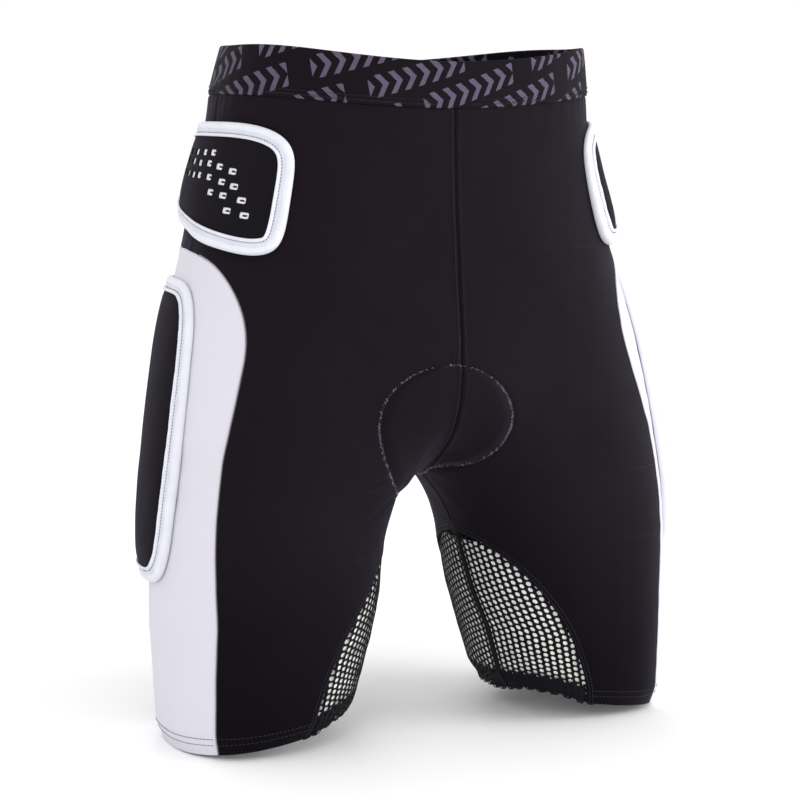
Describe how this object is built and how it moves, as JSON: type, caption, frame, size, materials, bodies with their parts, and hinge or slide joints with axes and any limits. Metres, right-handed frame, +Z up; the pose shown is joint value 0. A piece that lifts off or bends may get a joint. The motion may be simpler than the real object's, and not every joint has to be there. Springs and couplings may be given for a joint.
{
  "type": "padded impact shorts",
  "caption": "Mid-thigh stretch shorts with bound foam pads over the hips, thighs and tailbone, white side panels, mesh leg vents and a seat pad inside.",
  "frame": {"origin": "middle of the waist opening, level with the waist rim at the sides", "axes": "+Z up through the waist opening, +X to the wearer's left, the wearer faces -Y"},
  "size_m": [0.4306, 0.2523, 0.515],
  "materials": {
    "black_stretch": "smooth black stretch knit with a soft sheen",
    "white_stretch": "smooth white stretch knit",
    "waist_elastic": null,
    "black_mesh": "black knitted mesh with oval holes",
    "pale_lining": "pale cream knit",
    "pad_cover_cloth": "black stretch knit over foam, punched on the hip pads",
    "white_binding": "white folded binding tape",
    "pad_foam": "closed-cell protective foam",
    "seat_face": "brushed seat pad facing"
  },
  "bodies": {
    "root": {"waistband": "waist_elastic", "front_panel_right": "black_stretch", "front_panel_left": "black_stretch", "back_panel_right": "black_stretch", "back_panel_left": "black_stretch", "side_panel_right": "white_stretch", "side_panel_left": "white_stretch", "mesh_front_right": "black_mesh", "mesh_front_left": "black_mesh", "mesh_rear_right": "black_mesh", "mesh_rear_left": "black_mesh", "mesh_lining_right": "pale_lining", "mesh_lining_left": "pale_lining", "leg_hem_right": "black_stretch", "leg_hem_left": "black_stretch", "hip_pad_cover_right": "pad_cover_cloth", "hip_pad_cover_left": "pad_cover_cloth", "hip_pad_foam_right": "pad_foam", "hip_pad_foam_left": "pad_foam", "hip_pad_binding_right": "white_binding", "hip_pad_binding_left": "white_binding", "thigh_pad_cover_right": "pad_cover_cloth", "thigh_pad_cover_left": "pad_cover_cloth", "thigh_pad_foam_right": "pad_foam", "thigh_pad_foam_left": "pad_foam", "thigh_pad_binding_right": "white_binding", "thigh_pad_binding_left": "white_binding", "tailbone_pad_cover": "pad_cover_cloth", "tailbone_pad_foam": "pad_foam", "tailbone_pad_binding": "white_binding", "seat_pad_foam": "pad_foam", "seat_pad_face": "seat_face"}
  },
  "joints": []
}
